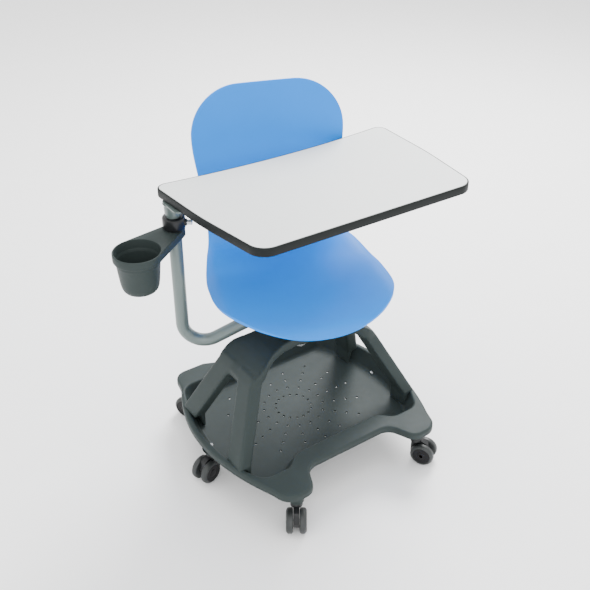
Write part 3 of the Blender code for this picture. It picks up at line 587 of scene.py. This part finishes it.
# %% Shell piece
seat_place = Matrix.Translation(spindle) @ Matrix.Rotation(seat_yaw, 4, "Z")
bm = bmesh.new()
bmesh.ops.create_grid(bm, x_segments=56, y_segments=96, size=0.5)
for vert in bm.verts:
    across = math.sin(math.pi * vert.co.x)
    first = end_round(across, seat_half_width, front_round)
    last = shell_length - end_round(across, back_half_width, back_round)
    vert.co = shell_point(first + (last - first) * (vert.co.y + 0.5), across)
shell_mesh = bpy.data.meshes.new("seat_moulding")
bm.to_mesh(shell_mesh)
bm.free()
shell_mesh.materials.append(blue_shell)
shell = bpy.data.objects.new("seat_moulding", shell_mesh)
bpy.context.scene.collection.objects.link(shell)
thick = shell.modifiers.new("wall", "SOLIDIFY")
thick.thickness = shell_thickness
thick.offset = -1
thick.use_even_offset = True
lip = shell.modifiers.new("rim", "BEVEL")
lip.width = 0.0024
lip.segments = 4
lip.limit_method = "ANGLE"
lip.angle_limit = math.radians(50)
settle(shell)
shell.data.transform(seat_place)
shell.data.shade_smooth()
shell.data.set_sharp_from_angle(angle=math.radians(60))
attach(shell, "seat")
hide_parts("seat_shell")
print("seat_moulding", len(shell.data.polygons), "faces")

# %% Bosses under the shell
boss_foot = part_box("seat_bracket")[1].z + 0.0003
bm = bmesh.new()
for i in (-1, 1):
    for j in (-1, 1):
        x, y = i * 0.074, j * 0.060
        nearest = min((k * 0.001 for k in range(int(bend_start * 1000))),
                      key=lambda s: abs(shell_profile(s)[0] - y))
        top = shell_point(nearest, x / shell_half_width(nearest)).z - shell_thickness * 0.6
        turned([(0, top), (0.014, top), (0.0108, top - 0.006), (0.010, boss_foot), (0, boss_foot)], 32,
               seat_place @ Matrix.Translation((x, y, 0)), bm)
piece("shell_bosses", bm, blue_shell, "seat")

# %% [markdown]
# ## Arm
# The arm is one tube bent twice. A curve with a round bevel is the natural tool: its points follow two arcs between
# straight runs. The curve is then turned into a mesh so that its place is in its vertices.

# %% Arm tube
ring_low, ring_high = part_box("arm_ring")
ring_middle = (ring_low.z + ring_high.z) / 2
post_distance = (post - spindle).length
tube_radius = 0.0145
tube_start = 0.0345
run_slope = 0.57
run_corner = 0.0925
post_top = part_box("arm_tube")[1].z
low_corner = ring_middle - run_slope * (post_distance - run_corner)
route = rounded([(tube_start, ring_middle, 0), (run_corner, ring_middle, 0.050),
                 (post_distance, low_corner, 0.048), (post_distance, post_top, 0)], 16)
arm_way = (post - spindle).normalized()
curve = bpy.data.curves.new("arm_bend", "CURVE")
curve.dimensions = "3D"
curve.bevel_depth = tube_radius
curve.bevel_resolution = 10
curve.use_fill_caps = True
spline = curve.splines.new("POLY")
spline.points.add(len(route) - 1)
for point, spot in zip(spline.points, route):
    point.co = (*(spindle + arm_way * spot.x + Vector((0, 0, spot.y))), 1)
bend = bpy.data.objects.new("arm_bend", curve)
bpy.context.scene.collection.objects.link(bend)
bent = bpy.data.meshes.new_from_object(bend.evaluated_get(bpy.context.evaluated_depsgraph_get()))
bpy.data.objects.remove(bend)
bm = bmesh.new()
bm.from_mesh(bent)
piece("arm_tube_bent", bm, tube_coat, "arm", ("arm_tube",), smooth=50)

# %% Arm ring and sleeve
bm = bmesh.new()
turned([(0.0165, ring_high.z), (0.0265, ring_high.z), (0.028, ring_high.z - 0.0015), (0.028, ring_low.z + 0.0015),
        (0.0265, ring_low.z), (0.0165, ring_low.z)], 64, bm=bm)
along_arm = Matrix.Translation((0, 0, ring_middle)) @ arm_way.to_track_quat("Z", "Y").to_matrix().to_4x4()
turned([(0.0149, 0.070), (0.0168, 0.070), (0.0178, 0.069), (0.0178, 0.026), (0.0149, 0.026)], 48, along_arm, bm)
piece("arm_ring_turned", bm, bracket_coat, "arm", ("arm_ring",), shift=spindle)

# %% [markdown]
# ## Desk
# The desk is a board with white laminate and a charcoal edge band. Its front corners are rounder than its rear
# ones, its sides bow, and the edge near the sitter is hollowed. The band's edges are rounded. A hair-wide groove
# between band and laminate is what makes the two read as separate pieces.

# %% Desk outline
desk_bottom, desk_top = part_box("desk_board")[0].z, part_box("desk_board")[1].z
desk_centre_x = 0.058
desk_front_shift = 0.009
desk_rear_y = 0.190
desk_front_y = -0.166
desk_rear_half = 0.297
desk_front_half = 0.261
desk_side_bulge = 0.008
desk_user_hollow = 0.019
band_width = 0.0032


def desk_outline(inset=0.0):
    shares = [0.9 - 1.8 * k / 24 for k in range(25)]
    rear = [(x * desk_rear_half, desk_rear_y - desk_user_hollow * (1 - x * x), 0) for x in shares]
    middle_x = (desk_rear_half + desk_front_half) / 2 + desk_side_bulge
    middle_y = (desk_rear_y + desk_front_y) / 2
    shift = desk_front_shift
    corners = [(shift - desk_front_half, desk_front_y, 0.040), (shift + desk_front_half, desk_front_y, 0.040),
               (shift / 2 + middle_x, middle_y, 0.9), (desk_rear_half, desk_rear_y, 0.022)]
    corners += rear
    corners += [(-desk_rear_half, desk_rear_y, 0.022), (shift / 2 - middle_x, middle_y, 0.9)]
    turn = Matrix.Rotation(desk_yaw, 2)
    middle = post - spindle
    local = [(x + desk_centre_x, y, radius) for x, y, radius in corners]
    flat = grown(rounded(local, 12), -inset)
    return [turn @ (p - middle.xy) + middle.xy for p in flat]


print(len(desk_outline()), "points round the desk")

# %% Board and band
groove = 0.0004
bm = bmesh.new()
board = desk_outline(band_width + groove)
low_loop, high_loop = skin(bm, [at_height(board, desk_bottom), at_height(board, desk_top - 0.0006),
                                at_height(grown(board, -0.0006), desk_top)])
fill(bm, low_loop)
fill(bm, high_loop)
piece("desk_board_laminated", bm, desk_white, "desk", ("desk_board",), shift=spindle)

bm = bmesh.new()
band = desk_outline()
soft = 0.0026
quarter = [math.pi / 2 * k / 4 for k in range(5)]
rings = [at_height(grown(band, -soft * (1 - math.sin(a))), desk_bottom + soft * (1 - math.cos(a))) for a in quarter]
rings += [at_height(grown(band, -soft * (1 - math.cos(a))), desk_top - soft * (1 - math.sin(a))) for a in quarter]
low_outer, high_outer = skin(bm, rings)
inner_wall = grown(band, -band_width)
low_inner, high_inner = skin(bm, [at_height(inner_wall, desk_bottom), at_height(inner_wall, desk_top)])
fill(bm, low_outer, low_inner)
fill(bm, high_outer, high_inner)
piece("desk_edge_band", bm, edge_charcoal, "desk", ("edge_band",), shift=spindle, smooth=50)

# %% Pivot under the desk
pivot_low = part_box("desk_pivot")[0].z
plate_top = desk_bottom - 0.0003
plate_low = plate_top - 0.003
neck_foot = post_top + 0.0008
bm = bmesh.new()
turned([(0.0180, plate_low - 0.004), (0.0182, plate_low - 0.008), (0.0176, neck_foot + 0.003),
        (0.0165, neck_foot), (0.0118, neck_foot), (0.0118, pivot_low), (0, pivot_low)][::-1]
       + [(0.0182, plate_low - 0.003), (0.0205, plate_low), (0, plate_low)], 56, bm=bm)
bmesh.ops.translate(bm, vec=post, verts=bm.verts)
plate = [(-0.018, -0.052, 0.012), (0.092, -0.052, 0.012), (0.092, 0.018, 0.012), (-0.018, 0.018, 0.012)]
turn_desk = Matrix.Translation(post) @ Matrix.Rotation(desk_yaw, 4, "Z")
extruded(bm, rounded(plate), plate_low, plate_top, turn_desk)
piece("desk_pivot_turned", bm, tube_coat, "desk", ("desk_pivot",), bevel=0.0005, segments=2)

# %% [markdown]
# ## Cup holder
# One moulding again: a plate shaped like a teardrop, a cup that hangs from its wide end and a bore for the post at
# its narrow end. The flat areas are filled between loops, and the walls are skins between rings.

# %% Cup holder piece
cup_reach = 0.115
cup_direction = math.radians(202)
cup_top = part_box("cup_holder")[1].z
cup_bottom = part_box("cup_holder")[0].z
cup_rim_radius = 0.0505
cup_base_radius = 0.0375
cup_wall = 0.0026
plate_thick = 0.018
narrow_radius = 0.0225
bore_radius = 0.0148
tangent = math.acos((narrow_radius - cup_rim_radius) / cup_reach)


def arc_points(x, radius, start, end, steps):
    turns = [start + (end - start) * k / steps for k in range(steps + 1)]
    return [Vector((x + radius * math.cos(a), radius * math.sin(a))) for a in turns]


teardrop = arc_points(cup_reach, cup_rim_radius, -tangent, tangent, 56)
teardrop += arc_points(0, narrow_radius, tangent, 2 * math.pi - tangent, 28)
bm = bmesh.new()
soft = 0.0022
side_rings = [at_height(grown(teardrop, -soft * (1 - math.sin(a))), cup_top - plate_thick + soft * (1 - math.cos(a)))
              for a in quarter]
side_rings += [at_height(grown(teardrop, -soft * (1 - math.cos(a))), cup_top - soft * (1 - math.sin(a)))
               for a in quarter]
under_loop, over_loop = skin(bm, side_rings)
at_cup = (cup_reach, 0)


def cup_ring(radius, z):
    return at_height(circle(radius, at_cup, 72), z)


outer_top = cup_top - plate_thick
outside = [cup_ring(cup_rim_radius - 0.0036, outer_top), cup_ring(cup_rim_radius - 0.0050, outer_top - 0.0020),
           cup_ring(cup_base_radius + 0.0030, cup_bottom + 0.022), cup_ring(cup_base_radius + 0.0012, cup_bottom + 0.012),
           cup_ring(cup_base_radius - 0.0010, cup_bottom + 0.0055), cup_ring(cup_base_radius - 0.0040, cup_bottom + 0.0018),
           cup_ring(cup_base_radius - 0.0080, cup_bottom)]
outer_loop, base_loop = skin(bm, outside)
fill(bm, base_loop)
inner_rim = cup_rim_radius - cup_wall - 0.0006
inside_rings = [cup_ring(inner_rim + 0.0012, cup_top), cup_ring(inner_rim + 0.0003, cup_top - 0.0005),
                cup_ring(inner_rim, cup_top - 0.0016), cup_ring(inner_rim - 0.0012, cup_top - 0.019),
                cup_ring(cup_base_radius - cup_wall + 0.0012, cup_bottom + 0.014),
                cup_ring(cup_base_radius - cup_wall - 0.0015, cup_bottom + 0.0065),
                cup_ring(cup_base_radius - cup_wall - 0.0060, cup_bottom + cup_wall + 0.0006),
                cup_ring(cup_base_radius - cup_wall - 0.0100, cup_bottom + cup_wall)]
mouth_loop, well_loop = skin(bm, inside_rings)
fill(bm, well_loop)
bore_over, bore_under = skin(bm, [at_height(circle(bore_radius, steps=48), cup_top),
                                  at_height(circle(bore_radius, steps=48), outer_top)])
fill(bm, over_loop, mouth_loop, bore_over)
fill(bm, under_loop, outer_loop, bore_under)
cup_place = Matrix.Translation(post) @ Matrix.Rotation(cup_direction, 4, "Z")
bmesh.ops.transform(bm, matrix=cup_place, verts=bm.verts)
piece("cup_holder_moulding", bm, grey_moulding, "cup", ("cup_holder",), smooth=35)

# %% Collar with its clamp screw
collar_low, collar_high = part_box("holder_collar")[0].z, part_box("holder_collar")[1].z
collar_radius = 0.0240
lug_way = Matrix.Rotation(math.radians(-38), 4, "Z") @ Vector((1, 0, 0))
bm = bmesh.new()
turned([(bore_radius, collar_high), (collar_radius - 0.0030, collar_high), (collar_radius - 0.0008, collar_high - 0.0012),
        (collar_radius, collar_high - 0.0040), (collar_radius, collar_low + 0.0020),
        (collar_radius - 0.0012, collar_low), (bore_radius, collar_low)], 64, bm=bm)
lug_place = (Matrix.Translation((0, 0, (collar_low + collar_high) / 2))
             @ lug_way.to_track_quat("Z", "Y").to_matrix().to_4x4())
turned([(0.0029, 0.028), (0.0062, 0.028), (0.0075, 0.0266), (0.0080, 0.018), (0.0029, 0.018)], 32, lug_place, bm)
piece("clamp_collar", bm, caster_black, "cup", ("holder_collar",), shift=post)

# %% [markdown]
# ## Casters
# Six twin-wheel casters, so one loop. A wheel is turned: a rounded tread, a chamfered shoulder and a face that
# drops to a flat hub cap. The hood is a web between the two wheels, with a round neck on top: it holds the axle
# and the stem. Each hood rides on its swivel body and each wheel on its axle body, so both can turn.

# %% Caster sizes and outlines
wheel_radius = 0.028
wheel_width = 0.0155
wheel_gap = 0.0145
caster_trail = 0.021
axle_radius = 0.003
hood_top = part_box("front_left_hood")[1].z
neck_radius = 0.0125
web_corners = [(-0.0095, 0.023, 0.004), (0.0095, 0.015, 0.006), (caster_trail + 0.010, 0.015, 0.006),
               (caster_trail + 0.016, 0.031, 0.008), (caster_trail + 0.008, wheel_radius * 2 - 0.002, 0.006),
               (0.0095, hood_top - 0.003, 0), (-0.0095, hood_top - 0.003, 0)]
tread_profile = [(axle_radius, 0.0), (wheel_radius - 0.0042, 0.0), (wheel_radius - 0.0016, 0.0008),
                 (wheel_radius - 0.0002, 0.0026), (wheel_radius, 0.0048), (wheel_radius, wheel_width - 0.0062),
                 (wheel_radius - 0.0009, wheel_width - 0.0036), (wheel_radius - 0.0032, wheel_width - 0.0014),
                 (wheel_radius - 0.0058, wheel_width - 0.0002), (wheel_radius - 0.0068, wheel_width - 0.0006),
                 (wheel_radius - 0.0072, wheel_width - 0.0022), (axle_radius, wheel_width - 0.0030)]
face_profile = [(wheel_radius - 0.0074, wheel_width - 0.0034), (wheel_radius - 0.0080, wheel_width - 0.0016),
                (0.0120, wheel_width - 0.0010), (0.0105, wheel_width - 0.0014), (0.0098, wheel_width - 0.0006),
                (0.0085, wheel_width - 0.0002), (0, wheel_width - 0.0002)]
print("wheel diameter", wheel_radius * 2)

# %% Six casters
edge_on = Matrix.Rotation(math.pi / 2, 4, "X")
for caster in casters:
    swivel = Vector(joints[caster + "_swivel"]["pos_m"])
    roll = joints[caster + "_roll"]
    hub = Vector(roll["pos_m"])
    axle_way = Vector(roll["axis"])
    stem_line = Vector((swivel.x, swivel.y, 0))
    trail_way = Vector((hub.x - swivel.x, hub.y - swivel.y, 0)).normalized()
    place = Matrix.Translation(stem_line) @ Matrix.Rotation(math.atan2(trail_way.y, trail_way.x), 4, "Z")
    bm = bmesh.new()
    extruded(bm, rounded(web_corners, 5), -wheel_gap / 2 + 0.0006, wheel_gap / 2 - 0.0006, place @ edge_on)
    turned([(0, hood_top), (neck_radius - 0.0012, hood_top), (neck_radius, hood_top - 0.0012),
            (neck_radius + 0.0012, wheel_radius * 2 + 0.0006), (0, wheel_radius * 2 + 0.0006)], 40, place, bm)
    piece(caster + "_hood_moulded", bm, caster_black, caster + "_caster", (caster + "_hood",),
          bevel=0.0008, segments=2)
    for hand, outward in (("a", -1), ("b", 1)):
        way = (axle_way * -outward).to_track_quat("Z", "Y").to_matrix().to_4x4()
        wheel_place = Matrix.Translation(hub) @ way @ Matrix.Translation((0, 0, wheel_gap / 2))
        piece(f"{caster}_tread_{hand}", turned(tread_profile, 64, wheel_place), tread_black, caster + "_wheels",
              (f"{caster}_wheel_{hand}",), smooth=30)
        piece(f"{caster}_face_{hand}", turned(face_profile, 48, wheel_place), wheel_face_black, caster + "_wheels",
              smooth=30)

# %% [markdown]
# ## Parts that stay
# The hidden working parts keep their frame shapes. They still need a finish of their own: zinc on the steel, a
# natural acetal on the bushes and a black coat on the seat bracket.

# %% Finishes of the frame's own parts
node_finish = {"steel": zinc, "bush_plastic": acetal, "bracket_paint": bracket_coat, "tube_paint": tube_coat,
               "base_plastic": grey_moulding, "caster_plastic": caster_black, "tread_plastic": tread_black,
               "shell_plastic": blue_shell, "desk_laminate": desk_white, "desk_edging": edge_charcoal}
slots = {row["node"]: row["material_slot"] for row in frame["record"]["subparts"]}
for name, node in frame["nodes"].items():
    node.data.materials.clear()
    node.data.materials.append(node_finish[slots[name]])
kept = [name for name, node in frame["nodes"].items() if not node.hide_render]
print(len(kept), "frame parts stay:", sorted(kept))

# %% [markdown]
# ## Studio
# A pale floor that runs on into a pale world, so the horizon doesn't show. A large soft light stands behind the
# chair on its left and gives the shadows their direction, and two weaker ones fill the front.

# %% Floor, lights and camera
bm = bmesh.new()
bmesh.ops.create_grid(bm, x_segments=1, y_segments=1, size=30)
floor_mesh = bpy.data.meshes.new("studio_floor")
bm.to_mesh(floor_mesh)
bm.free()
floor = bpy.data.objects.new("studio_floor", floor_mesh)
floor_mesh.materials.append(finish("studio_white", (0.92, 0.92, 0.92), 0.8, grain=0.0, drift=0.005))
bpy.context.scene.collection.objects.link(floor)

world = bpy.data.worlds.new("studio")
world.use_nodes = True
world.node_tree.nodes["Background"].inputs["Color"].default_value = (1.0, 1.0, 1.0, 1)
world.node_tree.nodes["Background"].inputs["Strength"].default_value = 2.0
bpy.context.scene.world = world


def soft_light(name, place, size, power, target=(0, 0, 0.4)):
    made = bpy.data.objects.new(name, bpy.data.lights.new(name, "AREA"))
    made.data.shape = "DISK"
    made.data.size = size
    made.data.energy = power
    made.location = place
    made.rotation_euler = (Vector(place) - Vector(target)).to_track_quat("Z", "Y").to_euler()
    bpy.context.scene.collection.objects.link(made)
    return made


soft_light("key", (1.9, 1.3, 2.6), 1.6, 190)
soft_light("front_fill", (-1.6, -2.6, 1.9), 2.2, 30)
soft_light("top_fill", (0.0, 0.0, 3.4), 2.5, 30)

lens = bpy.data.cameras.new("view")
lens.lens = 53.7
lens.sensor_width = 36
lens.clip_end = 100
camera = bpy.data.objects.new("view", lens)
right_way = Vector((0.8221, -0.5693, 0))
up_way = Vector((0.3105, 0.4484, 0.8382))
back_way = -Vector((0.4772, 0.6891, -0.5454))
turn = Matrix((right_way, up_way, back_way)).transposed().to_4x4()
camera.matrix_world = Matrix.Translation(spindle + Vector((-0.931, -1.329, 1.47))) @ turn
bpy.context.scene.collection.objects.link(camera)
bpy.context.scene.camera = camera
print("camera at", camera.location)
